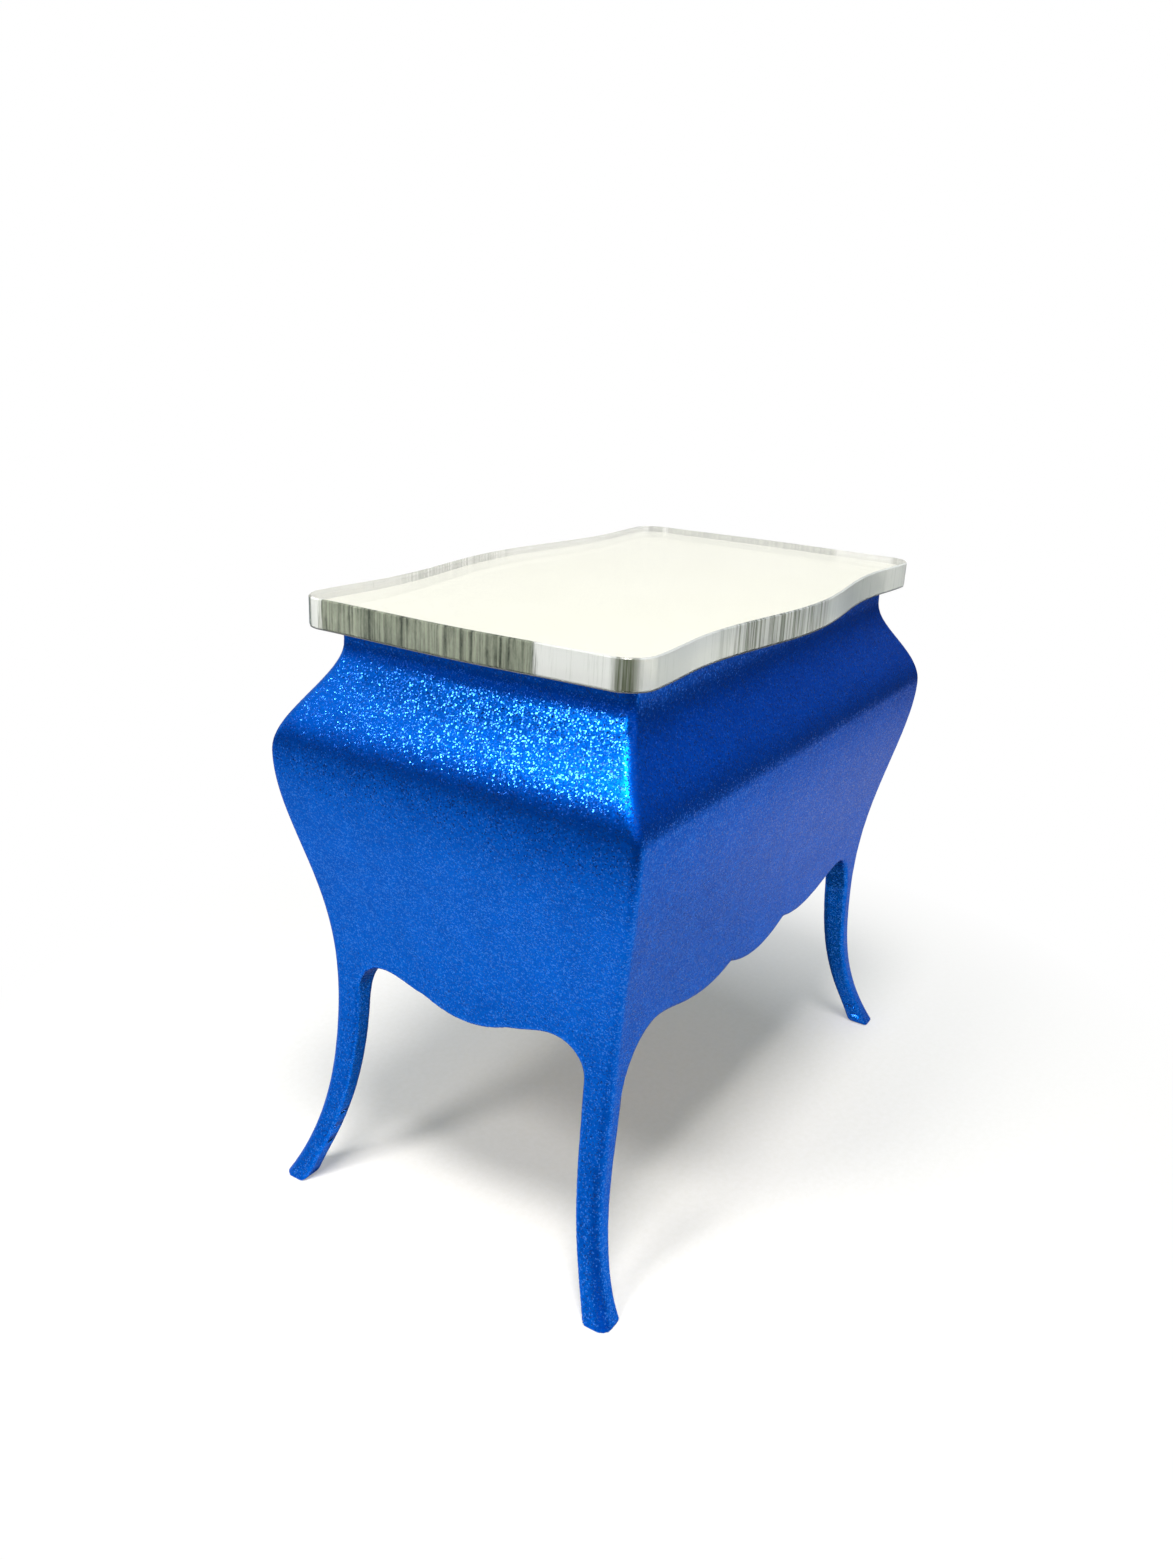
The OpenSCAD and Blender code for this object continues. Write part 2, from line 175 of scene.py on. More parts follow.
def long_opening():
    arch_z = END_WAIST_Z - 4
    leg = leg_inner_x(arch_z)
    crown, crown_z = leg - 5.4, 27.45
    apron = np.concatenate([[[0, 24.85]], half_lobe(6.9, 24.85, 26.35), lobe(6.9, 26.35, 15.7, 25.9, 25.6),
                            shoulder(15.7, 25.9, crown, crown_z), arch(crown, crown_z, leg, arch_z)])
    return opening(apron, arch_z, leg_inner_x)


def end_opening():
    arch_z = END_WAIST_Z - 0.8
    leg = leg_inner_y(arch_z)
    crown, crown_z = leg - 3.7, 26.75
    apron = np.concatenate([[[0, 24.35]], half_lobe(5.2, 24.35, 25.55),
                            shoulder(5.2, 25.55, crown, crown_z), arch(crown, crown_z, leg, arch_z)])
    return opening(apron, arch_z, leg_inner_y)


LONG_OPENING = long_opening()
END_OPENING = end_opening()


# ---------------------------------------------------------------- solids as signed distances
def opening_distance(u, z, gap):
    """Distance to the line round an opening, below zero inside the opening."""
    u = np.abs(u)
    best = np.full(np.broadcast(u, z).shape, 1e9)
    for (u0, z0), (u1, z1) in zip(gap["line"][:-1], gap["line"][1:]):
        du, dz = u1 - u0, z1 - z0
        along = np.clip(((u - u0) * du + (z - z0) * dz) / (du * du + dz * dz), 0, 1)
        best = np.minimum(best, (u - u0 - along * du) ** 2 + (z - z0 - along * dz) ** 2)
    under_arch = z < np.interp(u, gap["apron"][:, 0], gap["apron"][:, 1], right=gap["arch_z"])
    inside = np.where(z < gap["arch_z"], u < gap["leg_inner"](z), under_arch)
    return np.where(inside, -1, 1) * np.sqrt(best)


def wall_distance(u, z, half):
    """Distance to a pair of swelling walls, below zero between them."""
    slope = (half(z + 0.01) - half(z - 0.01)) / 0.02
    return (np.abs(u) - half(z)) / np.sqrt(1 + slope ** 2)


def both(a, b, radius):
    """What lies inside both solids, with the edge between them rounded."""
    corner = np.hypot(np.clip(a + radius, 0, None), np.clip(b + radius, 0, None))
    return np.minimum(np.maximum(a, b), -radius) + corner


def slab_distance(u, low, high):
    return np.abs(u - (low + high) / 2) - (high - low) / 2


def box_distance(x, y, z, low, high, radius=0.05):
    sides = both(slab_distance(x, low[0], high[0]), slab_distance(y, low[1], high[1]), radius)
    return both(sides, slab_distance(z, low[2], high[2]), radius)


def outer_form(x, y, z):
    """The swollen outside, with softly rounded corners that are rounder on the legs."""
    on_body = s_curve(np.clip((z - BODY_FROM_Z) / BODY_BLEND, 0, 1))
    radius = LEG_CORNER + (BODY_CORNER - LEG_CORNER) * on_body
    return both(wall_distance(x, z, half_x), wall_distance(y, z, half_y), radius)


def case_form(x, y, z):
    """The painted carcass: outside, legs, arches, hollow inside and the two drawer openings."""
    solid = both(outer_form(x, y, z), np.maximum(z - CASE_TOP, -z), 0.2)
    legs = both(-opening_distance(x, z, LONG_OPENING), -opening_distance(y, z, END_OPENING), 0.7)
    solid = both(solid, legs, 0.45)
    hollow = box_distance(x, y, z, (-SPACE_X, -SPACE_Y, -FAR), (SPACE_X, SPACE_Y, BOARD_UNDER))
    solid = both(solid, -hollow, 0.2)
    for bottom, top in WINDOWS:
        window = box_distance(x, y, z, (-SPACE_X, -FAR, bottom), (SPACE_X, 0, top))
        solid = both(solid, -window, 0.2)
    return solid


def front_form(node, knob_node):
    """A drawer front: the swell between two heights, with the seats that its knobs stand in."""
    low, high = box_mm(node)
    knob_low, knob_high = box_mm(knob_node)
    knob_x, knob_z = (knob_low[0] + knob_high[0]) / 2, (knob_low[2] + knob_high[2]) / 2
    seat_y = -half_y(knob_z) + SEAT_DEPTH

    def form(x, y, z):
        panel = box_distance(x, y, z, (low[0], -FAR, low[2]), (high[0], -SPACE_Y, high[2]), 0.3)
        solid = both(wall_distance(y, z, half_y), panel, 0.3)
        seat = both(np.hypot(np.abs(x) - knob_x, z - knob_z) - SEAT_RADIUS, y - seat_y, 0.02)
        return both(solid, -seat, 0.06)

    return form


# ---------------------------------------------------------------- meshing a solid
def grid_lines(low, high, step, fine_step, fine_bands):
    """Positions from low to high: step apart, and fine_step apart inside the fine bands."""
    marks = [low]
    while marks[-1] < high:
        fine = any(start - step <= marks[-1] <= end for start, end in fine_bands)
        marks.append(marks[-1] + (fine_step if fine else step))
    return np.array(marks)


def mirrored(marks):
    return np.concatenate([-marks[::-1], marks])


def gradient(form, points, reach=0.01):
    slopes = []
    for axis in range(3):
        offset = np.zeros(3)
        offset[axis] = reach
        slopes.append((form(*(points + offset).T) - form(*(points - offset).T)) / (2 * reach))
    return np.stack(slopes, 1)


CELL_CORNERS = [(i, j, k) for i in (0, 1) for j in (0, 1) for k in (0, 1)]
CELL_EDGES = [(a, b) for a in CELL_CORNERS for b in CELL_CORNERS if a < b and sum(np.abs(np.subtract(a, b))) == 1]


def surface_net(form, marks):
    """Vertices, faces and normals of the surface where form is zero, on a grid of positions along X, Y and Z."""
    xs, ys, zs = marks
    field = form(xs[:, None, None], ys[None, :, None], zs[None, None, :])
    inside = field < 0
    count = sum(inside[i:field.shape[0] - 1 + i, j:field.shape[1] - 1 + j, k:field.shape[2] - 1 + k].astype(np.int8)
                for i, j, k in CELL_CORNERS)
    cells = np.argwhere((count > 0) & (count < 8))
    number = np.full(count.shape, -1)
    number[tuple(cells.T)] = np.arange(len(cells))

    total, crossings = np.zeros((len(cells), 3)), np.zeros(len(cells))
    for a, b in CELL_EDGES:
        ends = [cells + a, cells + b]
        values = [field[tuple(end.T)] for end in ends]
        crosses = (values[0] < 0) != (values[1] < 0)
        places = [np.stack([xs[end[:, 0]], ys[end[:, 1]], zs[end[:, 2]]], 1) for end in ends]
        share = np.where(crosses, values[0] / np.where(crosses, values[0] - values[1], 1), 0)[:, None]
        total += np.where(crosses[:, None], places[0] + share * (places[1] - places[0]), 0)
        crossings += crosses
    points = total / crossings[:, None]

    # One face for every grid edge that crosses the surface, through the four cells round that edge.
    faces = []
    for axis in range(3):
        one, two = [other for other in range(3) if other != axis]
        near = [slice(1, size - 1) for size in field.shape]
        near[axis] = slice(0, field.shape[axis] - 1)
        far = list(near)
        far[axis] = slice(1, field.shape[axis])
        starts_inside, ends_inside = inside[tuple(near)], inside[tuple(far)]
        edge = np.argwhere(starts_inside != ends_inside)
        outward = starts_inside[tuple(edge.T)]
        edge[:, one] += 1
        edge[:, two] += 1
        ring = []
        for back_one, back_two in ((1, 1), (0, 1), (0, 0), (1, 0)):
            cell = edge.copy()
            cell[:, one] -= back_one
            cell[:, two] -= back_two
            ring.append(number[tuple(cell.T)])
        ring = np.stack(ring, 1)
        flip = outward if axis == 1 else ~outward
        ring[flip] = ring[flip][:, ::-1]
        faces.append(ring)

    # The points slide on to the surface itself.
    for _ in range(3):
        slope = gradient(form, points)
        size = np.sum(slope ** 2, 1)
        step = form(*points.T) / np.maximum(size, 0.25)
        points -= np.clip(step, -0.15, 0.15)[:, None] * slope
    normals = gradient(form, points)
    normals /= np.maximum(np.linalg.norm(normals, axis=1), 1e-6)[:, None]
    return points, np.concatenate(faces), normals


def finished_mesh(name, build, *materials):
    mesh = bpy.data.meshes.new(name)
    build.to_mesh(mesh)
    build.free()
    for material in materials:
        mesh.materials.append(material)
    return mesh


def link_object(name, mesh):
    thing = bpy.data.objects.new(name, mesh)
    bpy.context.scene.collection.objects.link(thing)
    return thing


def solid_piece(name, form, marks, material):
    """One smooth object from a signed distance, set at the case's own place."""
    points, faces, normals = surface_net(form, marks)
    points[:, 1] += CASE_Y
    mesh = bpy.data.meshes.new(name)
    mesh.from_pydata((points * MM).tolist(), [], faces.tolist())
    mesh.shade_smooth()
    mesh.normals_split_custom_set_from_vertices(normals.tolist())
    mesh.materials.append(material)
    return link_object(name, mesh)


# ---------------------------------------------------------------- materials
class Shader:
    """A node material with one Principled surface. Inputs are given as numbers, colours or other nodes' outputs."""

    def __init__(self, name, **surface):
        self.material = bpy.data.materials.new(name)
        self.material.use_nodes = True
        self.tree = self.material.node_tree
        self.surface = self.tree.nodes["Principled BSDF"]
        self.fill(self.surface, surface)
        self.place = self.add("ShaderNodeTexCoord").outputs["Object"]

    def fill(self, node, inputs):
        """Sets a node's inputs, each named by its label with _ for a space, or by its number."""
        for name, value in inputs.items():
            key = name.replace("_", " ") if isinstance(name, str) else name
            if isinstance(value, bpy.types.NodeSocket):
                self.tree.links.new(value, node.inputs[key])
            else:
                node.inputs[key].default_value = value

    def add(self, kind, inputs=None, **settings):
        node = self.tree.nodes.new(kind)
        for name, value in settings.items():
            setattr(node, name, value)
        self.fill(node, inputs or {})
        return node

    def stretched(self, scale):
        """The place on the object, in units that are 1/scale metres long along each axis."""
        return self.add("ShaderNodeMapping", {"Vector": self.place, "Scale": scale}).outputs[0]

    def noise(self, place, scale, detail=3.0, roughness=0.55):
        inputs = {"Vector": place, "Scale": scale, "Detail": detail, "Roughness": roughness}
        return self.add("ShaderNodeTexNoise", inputs).outputs["Fac"]

    def levels(self, value, low, high, to_low, to_high):
        inputs = {"Value": value, "From Min": low, "From Max": high, "To Min": to_low, "To Max": to_high}
        return self.add("ShaderNodeMapRange", inputs).outputs[0]

    def blend(self, share, first, second):
        return self.add("ShaderNodeMix", {0: share, 6: first, 7: second}, data_type="RGBA").outputs[2]

    def math(self, operation, *values):
        return self.add("ShaderNodeMath", dict(enumerate(values)), operation=operation).outputs[0]

    def bump(self, height, distance, strength):
        inputs = {"Height": height, "Distance": distance * MM, "Strength": strength}
        return self.add("ShaderNodeBump", inputs).outputs[0]

    def vector(self, operation, *values):
        return self.add("ShaderNodeVectorMath", dict(enumerate(values)), operation=operation).outputs[0]


def per_mm(*counts):
    return tuple(count / MM for count in counts)


def blue_paint():
    """Sprayed metallic blue: a soft even base with fine glitter, over a ground that shows a little grain."""
    shader = Shader("blue_paint", Metallic=1.0, Specular_Tint=(0.6, 0.57, 0.65, 1))
    flakes = shader.add("ShaderNodeTexVoronoi", {"Vector": shader.place, "Scale": 8.0 / MM})
    powder = shader.add("ShaderNodeTexVoronoi", {"Vector": shader.place, "Scale": 9.0 / MM})
    flake = shader.add("ShaderNodeSeparateColor", {"Color": flakes.outputs["Color"]}).outputs
    dust = shader.add("ShaderNodeSeparateColor", {"Color": powder.outputs["Color"]}).outputs
    cloud = shader.noise(shader.place, 0.3 / MM, 4)
    grain = shader.noise(shader.stretched(per_mm(1.1, 1.1, 3.6)), 1.0, 4, 0.75)
    glitter = shader.levels(flake["Green"], 0.74, 0.78, 0, 1)

    colour = shader.blend(shader.levels(cloud, 0.35, 0.65, 0, 1), (0.001, 0.106, 0.56, 1), (0.001, 0.124, 0.64, 1))
    colour = shader.blend(shader.levels(dust["Red"], 0, 1, 0, 0.2), colour, (0.001, 0.062, 0.4, 1))
    colour = shader.blend(shader.levels(grain, 0.45, 0.75, 0, 0.5), colour, (0.002, 0.19, 0.8, 1))
    colour = shader.blend(shader.math("MULTIPLY", glitter, 0.25), colour, (0.12, 0.34, 0.85, 1))

    def tilt(texture, amount):
        centred = shader.vector("SUBTRACT", texture.outputs["Color"], (0.5, 0.5, 0.5))
        scaled = shader.add("ShaderNodeVectorMath", {0: centred, "Scale": amount}, operation="SCALE")
        return scaled.outputs["Vector"]

    ground = shader.bump(grain, 0.03, 0.22)
    turned = shader.vector("ADD", tilt(flakes, shader.levels(glitter, 0, 1, 0.12, 0.4)), tilt(powder, 0.1))
    shader.fill(shader.surface, {
        "Base Color": colour,
        "Roughness": shader.levels(glitter, 0, 1, 0.37, 0.22),
        "Normal": shader.vector("NORMALIZE", shader.vector("ADD", ground, turned)),
    })
    return shader.material


def bare_wood(name, grain_axis):
    """Bare sanded light wood, its grain along one axis."""
    across = [2.2, 2.2, 2.2]
    across[grain_axis] = 0.12
    pores_across = [14.0, 14.0, 14.0]
    pores_across[grain_axis] = 0.7
    shader = Shader(name)
    rings = shader.noise(shader.stretched(per_mm(*across)), 1.0, 5, 0.6)
    pores = shader.noise(shader.stretched(per_mm(*pores_across)), 1.0, 3, 0.6)
    colour = shader.blend(shader.levels(rings, 0.35, 0.65, 0, 1), (0.42, 0.26, 0.125, 1), (0.62, 0.43, 0.24, 1))
    colour = shader.blend(shader.levels(pores, 0.6, 0.75, 0, 0.6), colour, (0.25, 0.14, 0.06, 1))
    shader.fill(shader.surface, {
        "Base Color": colour,
        "Roughness": shader.levels(pores, 0.4, 0.7, 0.5, 0.7),
        "Normal": shader.bump(pores, 0.03, 0.6),
    })
    return shader.material


def turned_brass():
    """Polished brass with faint turning marks round the knob's axis and a little tarnish."""
    shader = Shader("turned_brass", Metallic=1.0)
    marks = shader.noise(shader.stretched(per_mm(0.3, 16, 0.3)), 1.0, 2)
    tarnish = shader.noise(shader.place, 0.8 / MM, 4)
    colour = shader.blend(shader.levels(tarnish, 0.4, 0.75, 0, 1), (0.83, 0.62, 0.26, 1), (0.62, 0.42, 0.16, 1))
    shader.fill(shader.surface, {
        "Base Color": colour,
        "Roughness": shader.levels(tarnish, 0.3, 0.7, 0.14, 0.3),
        "Normal": shader.bump(marks, 0.01, 0.35),
    })
    return shader.material


def clear_acrylic():
    """The polished faces of the clear sheet, with a few hairline scratches."""
    shader = Shader("clear_acrylic", Base_Color=(1, 1, 0.995, 1), Transmission_Weight=1.0, IOR=1.49)
    scuffs = shader.noise(shader.stretched(per_mm(0.5, 3.0, 1.0)), 1.0, 6, 0.7)
    shader.fill(shader.surface, {
        "Roughness": shader.levels(scuffs, 0.66, 0.8, 0.0, 0.12),
        "Normal": shader.bump(scuffs, 0.004, 0.1),
    })
    return shader.material


def laser_edge_painted_reflections():
    """The cut edge of the clear sheet: pale, with fine upright striations.

    Painted reflections of the dim room make it dark and greenish along the middle of each end, in bands at the round
    corners, and in streaks on the long sides."""
    # Where the painted dark reflections lie: a stretch along each end, bands at the round corners, streaks on the
    # long sides.
    painted_dark_half, painted_dark_fade, painted_dark_ragged = 13.4, 0.6, 3.0
    corner_x, corner_y, corner_fade = 32.4, 16.0, 0.6
    reflection_streaks_middle, reflection_streaks_half, reflection_streaks_fade = 8.0, 8.0, 4.0
    shader = Shader("laser_edge_painted_reflections", Transmission_Weight=0.42, IOR=1.49)
    lines = shader.noise(shader.stretched(per_mm(3.5, 3.5, 0.12)), 1.0, 5, 0.75)
    blocks = shader.noise(shader.stretched(per_mm(1.1, 1.1, 0.35)), 1.0, 4, 0.8)
    strips = shader.noise(shader.stretched(per_mm(2.4, 2.4, 0.05)), 1.0, 5, 0.7)
    place = shader.add("ShaderNodeSeparateXYZ", {"Vector": shader.place}).outputs
    streaks = shader.levels(lines, 0.56, 0.7, 0, 0.5)
    colour = shader.blend(streaks, (0.99, 1.0, 0.985, 1), (0.45, 0.5, 0.45, 1))

    tone = shader.math("ADD", shader.math("MULTIPLY", blocks, 0.3), shader.math("MULTIPLY", strips, 0.7))
    # Painted reflection: a dark greenish tone for the dim room seen in the edge, laid along the middle of each end.
    painted_dark_tone = shader.blend(shader.levels(tone, 0.4, 0.6, 0, 1), (0.03, 0.045, 0.02, 1), (0.4, 0.44, 0.33, 1))
    from_painted_dark = shader.math("ABSOLUTE", shader.math("ADD", place["Y"], 2.0 * MM))
    from_painted_dark = shader.math("ADD", from_painted_dark, shader.math("MULTIPLY", lines, painted_dark_ragged * MM))
    painted_dark_reflection = shader.levels(from_painted_dark, painted_dark_half * MM, (painted_dark_half + painted_dark_fade) * MM, 0.95, 0)
    colour = shader.blend(painted_dark_reflection, colour, painted_dark_tone)

    # Painted reflections at the round corners: corner masks where dark bands of the dim room are painted into the
    # edge.
    out_x = shader.math("ABSOLUTE", place["X"])
    out_y = shader.math("ABSOLUTE", shader.math("SUBTRACT", place["Y"], CASE_Y * MM))
    round_x = shader.levels(out_x, corner_x * MM, (corner_x + corner_fade) * MM, 0, 1)
    round_y = shader.levels(out_y, corner_y * MM, (corner_y + corner_fade) * MM, 0, 1)
    corner_reflection_bands = shader.noise(shader.stretched(per_mm(0.75, 0.75, 0.02)), 1.0, 2, 0.6)
    corner = shader.math("MULTIPLY", round_x, round_y)
    corner = shader.math("MULTIPLY", corner, shader.levels(corner_reflection_bands, 0.36, 0.48, 0, 1))
    corner = shader.math("MULTIPLY", corner, shader.levels(strips, 0.45, 0.68, 1, 0.6))

    # Painted reflections on the long sides: dark streaks of the dim room, around x = 8 mm.
    from_reflection_streaks = shader.math("ABSOLUTE", shader.math("SUBTRACT", place["X"], reflection_streaks_middle * MM))
    bow = shader.levels(from_reflection_streaks, reflection_streaks_half * MM, (reflection_streaks_half + reflection_streaks_fade) * MM, 1, 0)
    bow = shader.math("MULTIPLY", bow, shader.levels(strips, 0.42, 0.58, 0.85, 0.1))
    # Both painted reflections, at the corners and on the long sides, take one dark colour.
    colour = shader.blend(shader.math("MAXIMUM", corner, bow), colour, (0.12, 0.14, 0.08, 1))
    shader.fill(shader.surface, {
        "Base Color": colour,
        "Roughness": shader.levels(lines, 0.4, 0.7, 0.04, 0.22),
        "Normal": shader.bump(lines, 0.03, 0.5),
    })
    return shader.material


def mirror_film():
    """The reflecting layer, with a few pinholes. It is also the clear sheet's underside, with no air between."""
    shader = Shader("mirror_film", Metallic=1.0)
    specks = shader.add("ShaderNodeTexVoronoi", {"Vector": shader.place, "Scale": 0.22 / MM}).outputs["Distance"]
    cloud = shader.noise(shader.place, 0.08 / MM, 3)
    colour = shader.blend(shader.levels(cloud, 0.3, 0.7, 0, 1), (0.99, 0.99, 0.96, 1), (0.97, 0.97, 0.93, 1))
    colour = shader.blend(shader.levels(specks, 0.03, 0.02, 0, 0.8), colour, (0.35, 0.35, 0.33, 1))
    shader.fill(shader.surface, {
        "Base Color": colour,
        "Roughness": shader.levels(cloud, 0.3, 0.7, 0.01, 0.03),
    })
    return shader.material


def mirror_backing():
    """The grey protective paint on the back of the mirror layer."""
    shader = Shader("mirror_backing")
    cloud = shader.noise(shader.place, 0.9 / MM, 4)
    shader.fill(shader.surface, {
        "Base Color": shader.blend(cloud, (0.1, 0.105, 0.11, 1), (0.17, 0.175, 0.18, 1)),
        "Roughness": shader.levels(cloud, 0.3, 0.7, 0.45, 0.6),
    })
    return shader.material


# ---------------------------------------------------------------- the painted case and drawer fronts
FINE = 0.32
PLAIN = 0.6
EDGE = 0.15


def case_marks():
    """Grid lines that crowd at the legs, the arches and the edges of the drawer openings."""
    rims = [edge for window in WINDOWS for edge in window]
    low_part = grid_lines(-0.6, 29.0, FINE, EDGE, [(-0.3, 0.4)])
    high_part = grid_lines(low_part[-1] + EDGE, CASE_TOP + 0.6, PLAIN, EDGE,
                           [(rim - 0.35, rim + 0.35) for rim in rims] + [(CASE_TOP - 0.3, CASE_TOP + 0.3)])
    return (mirrored(grid_lines(PLAIN / 2, TOE_X + 0.6, PLAIN, FINE, [(SPACE_X - 1, TOE_X + 1)])),
            mirrored(grid_lines(PLAIN / 2, BELLY_Y + 0.6, PLAIN, FINE, [(SPACE_Y - 1, BELLY_Y + 1)])),
            np.concatenate([low_part, high_part]))


def make_case(paint):
    """The carcass as one painted skin over its posts, panels, rails, apron and top board."""
    case = solid_piece("case_shell", case_form, case_marks(), paint)
    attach(case, "case")
    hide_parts("top_board", "back_panel", "front_top_rail", "front_middle_rail", "front_apron",
                "end_panel_right", "end_panel_left",
                "corner_post_back_right", "corner_post_back_left",
                "corner_post_front_right", "corner_post_front_left")


def make_drawer_face(drawer, paint):
    """The painted front of a drawer, on a grid that is finer at its rim and at the knobs' seats."""
    node = drawer + "_front"
    low, high = box_mm(node)
    marks = (mirrored(grid_lines(PLAIN / 2, high[0] + 0.5, PLAIN, EDGE,
                                 [(high[0] - 0.6, high[0] + 1), KNOB_SPAN])),
             grid_lines(-BELLY_Y - 0.5, -SPACE_Y + 0.5, FINE, EDGE, [(-SPACE_Y - 0.6, -SPACE_Y + 1)]),
             grid_lines(low[2] - 0.5, high[2] + 0.5, FINE, EDGE,
                        [(low[2] - 1, low[2] + 0.6), (high[2] - 0.6, high[2] + 1)]))
    knob = drawer.split("_")[0] + "_knob_right"
    face = solid_piece(drawer + "_face", front_form(node, knob), marks, paint)
    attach(face, drawer)
    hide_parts(node)


# ---------------------------------------------------------------- the mirrored top
def top_outline(spacing=0.12):
    """Points at an even spacing round the top, with the outward direction at each."""
    high = box_mm("mirror_top_sheet")[1]
    half_long, half_wide = high[0], high[1] - CASE_Y
    sweep_in, sweep_out, ear, bow, corner = 2.0, 21.0, 0.5, 0.5, 3.0
    corner_x = half_long - bow - corner
    corner_y = half_wide - sweep_in + ear - corner
    t = np.linspace(0, 1, 40)[1:]
    wave = (1 - np.cos(math.pi * t)) / 2
    angle = t * math.pi / 2
    quarter = np.concatenate([
        [[0, half_wide]],
        np.stack([sweep_out * t, half_wide - sweep_in * wave], 1),
        np.stack([sweep_out + (corner_x - sweep_out) * t, half_wide - sweep_in + ear * wave], 1),
        np.stack([corner_x + corner * np.sin(angle), corner_y + corner * np.cos(angle)], 1),
        np.stack([half_long - bow + bow * wave, corner_y * (1 - t)], 1),
    ])
    down = quarter[-2::-1] * (1, -1)
    right = np.concatenate([quarter, down])
    line = np.concatenate([right, right[-2:0:-1] * (-1, 1)])
    closed = np.concatenate([line, line[:1]])
    walked = np.concatenate([[0], np.cumsum(np.hypot(*np.diff(closed, axis=0).T))])
    count = int(walked[-1] / spacing)
    at = np.arange(count) * walked[-1] / count
    points = np.stack([np.interp(at, walked, closed[:, i]) for i in (0, 1)], 1)
    along = np.roll(points, -2, 0) - np.roll(points, 2, 0)
    outward = np.stack([-along[:, 1], along[:, 0]], 1)
    return points, outward / np.linalg.norm(outward, axis=1)[:, None]


def plate(name, rings, under, side, upper):
    """A closed plate from stacked rings of points, with a material below, round and above.

    Each ring is (points in plan, height)."""
    build = bmesh.new()
    loops = [[build.verts.new((x * MM, (y + CASE_Y) * MM, z * MM)) for x, y in points] for points, z in rings]
    for lower, higher in zip(loops[:-1], loops[1:]):
        for i in range(len(lower)):
            before = i - 1
            wall = build.faces.new((lower[i], lower[before], higher[before], higher[i]))
            wall.material_index = 1
            wall.smooth = True
    build.faces.new(loops[0]).material_index = 0
    build.faces.new(loops[-1][::-1]).material_index = 2
    bmesh.ops.recalc_face_normals(build, faces=build.faces)
    mesh = finished_mesh(name, build, under, side, upper)
    mesh.set_sharp_from_angle(angle=math.radians(30))
    return link_object(name, mesh)


def make_top(acrylic, edge, film, backing):
    """The clear sheet with its laser-cut edge, over the mirror layer."""
    sheet_low, sheet_high = box_mm("mirror_top_sheet")
    film_low, film_high = box_mm("mirror_coating")
    points, outward = top_outline()
    random = np.random.default_rng(12)
    cut = random.normal(0, 1, len(points))          # the laser's striations, round the whole edge
    cut = np.convolve(np.concatenate([cut[-2:], cut, cut[:2]]), np.ones(5) / 5, "valid")
    shallowest, deeper = 0.02, 0.016
    depth = shallowest + deeper * np.abs(cut) / np.abs(cut).max()
    walls = points - outward * depth[:, None]
    rim = 0.14
    clearance = 0.004
    sheet = plate("clear_top", [
        (walls - outward * rim, sheet_low[2] + clearance),
        (walls, sheet_low[2] + rim),
        (walls, sheet_high[2] - rim),
        (walls - outward * rim, sheet_high[2]),
    ], film, edge, acrylic)
    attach(sheet, "case")
    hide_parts("mirror_top_sheet")

    layer = plate("mirror_layer", [
        (points - outward * 0.12, film_low[2]),
        (points - outward * 0.07, film_low[2] + 0.03),
        (points - outward * 0.07, film_high[2] - 0.03),
        (points - outward * 0.1, film_high[2]),
    ], backing, backing, film)
    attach(layer, "case")
    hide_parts("mirror_coating")


# ---------------------------------------------------------------- knobs
def knob_profile(length, ball):
    """Half outline of a knob: (distance out from its seat, radius)."""
    collar, neck = COLLAR_RADIUS, KNOB_NECK
    angles = np.linspace(math.asin(neck / ball), math.pi, 26)
    centre = length - PIN_LENGTH - ball
    outline = [(-PIN_LENGTH, 0), (-PIN_LENGTH, PIN_RADIUS), (0, PIN_RADIUS), (0, collar - 0.08), (0.05, collar),
               (0.26, collar), (0.34, collar - 0.05), (0.4, collar - 0.14), (0.44, neck + 0.16), (0.52, neck + 0.05)]
    return outline + [(centre - ball * math.cos(a), ball * math.sin(a)) for a in angles]


def make_knob(node, drawer, brass, around=48):
    """A knob turned round its own axis, which lies along Y. Its pin stands in the seat in the drawer front."""
    low, high = box_mm(node)
    outline = knob_profile(high[1] - low[1], (high[0] - low[0]) / 2)
    seat_y = high[1] - PIN_LENGTH
    centre = np.array([(low[0] + high[0]) / 2, (low[2] + high[2]) / 2])
    build = bmesh.new()
    rings = []
    for out, radius in outline:
        y = (seat_y - out) * MM
        if radius < 1e-6:
            rings.append([build.verts.new((centre[0] * MM, y, centre[1] * MM))])
            continue
        rings.append([build.verts.new(((centre[0] + radius * math.cos(a)) * MM, y,
                                       (centre[1] + radius * math.sin(a)) * MM))
                      for a in np.linspace(0, 2 * math.pi, around, endpoint=False)])
    for first, second in zip(rings[:-1], rings[1:]):
        for i in range(around):
            corners = [first[i % len(first)], first[i - 1 if len(first) > 1 else 0],
                       second[i - 1 if len(second) > 1 else 0], second[i % len(second)]]
            build.faces.new(list(dict.fromkeys(corners)))
    bmesh.ops.recalc_face_normals(build, faces=build.faces)
    for face in build.faces:
        face.smooth = True
    mesh = finished_mesh(node + "_turned", build, brass)
    mesh.set_sharp_from_angle(angle=math.radians(40))
    knob = link_object(node + "_turned", mesh)
    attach(knob, drawer)
    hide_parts(node)


